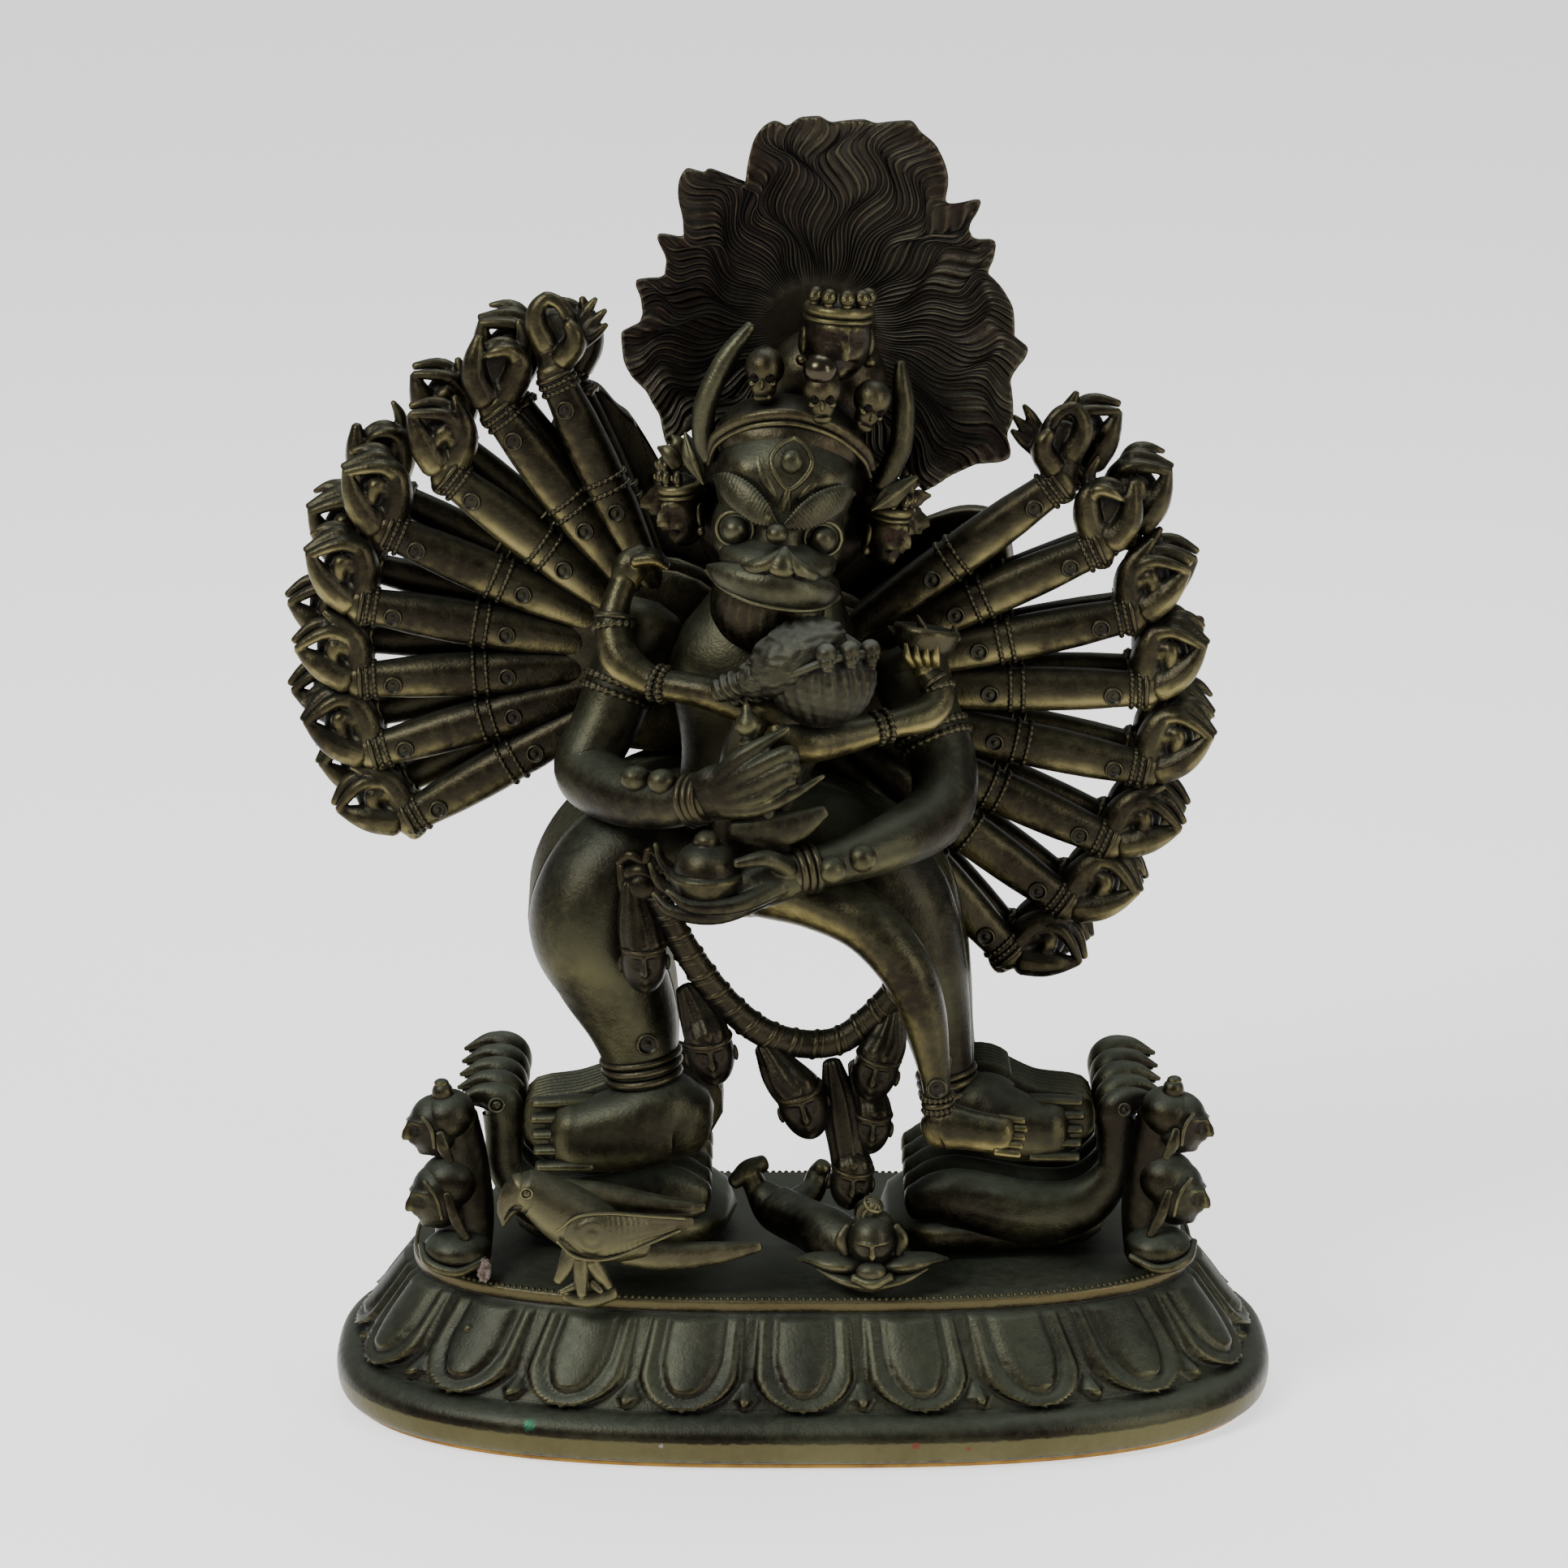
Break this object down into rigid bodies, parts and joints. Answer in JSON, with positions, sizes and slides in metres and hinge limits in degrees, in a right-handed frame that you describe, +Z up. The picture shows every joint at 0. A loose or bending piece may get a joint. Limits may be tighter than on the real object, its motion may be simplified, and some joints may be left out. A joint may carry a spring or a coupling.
{
  "type": "vajrabhairava statue",
  "caption": "Cast bronze buffalo-headed deity with fans of arms and a flame-like mane, embracing a consort and treading on birds and small figures, on an oval lotus plinth.",
  "frame": {"origin": "middle of the plinth's underside", "axes": "+Z up through the head, -Y towards the viewer at the front, +X to the viewer's right"},
  "size_m": [0.2234, 0.1176, 0.2877],
  "materials": {
    "plinth_bronze": "olive patina with worn edges and dusty green on its petals",
    "plate_copper": "ochre tarnished sheet",
    "god_bronze": "dark brown patina with traces of red pigment and worn high points",
    "worn_bronze": "olive patina rubbed bright along the arms",
    "dark_bronze": "dark olive patina",
    "consort_bronze": "olive patina rubbed bright",
    "garland_bronze": "dark olive patina",
    "trampled_bronze": "dark patina with dusty green on top",
    "crow_bronze": "olive brown patina with worn high points",
    "man_bronze": "brown patina with worn high points"
  },
  "bodies": {
    "root": {"plinth": "plinth_bronze", "sealing_plate": "plate_copper", "god": "god_bronze", "front_arm_fan": "worn_bronze", "rear_arm_fan": "dark_bronze", "consort": "consort_bronze", "head_garland": "garland_bronze", "trampled_left": "trampled_bronze", "trampled_right": "trampled_bronze", "crow": "crow_bronze", "prone_man": "man_bronze"}
  },
  "joints": []
}
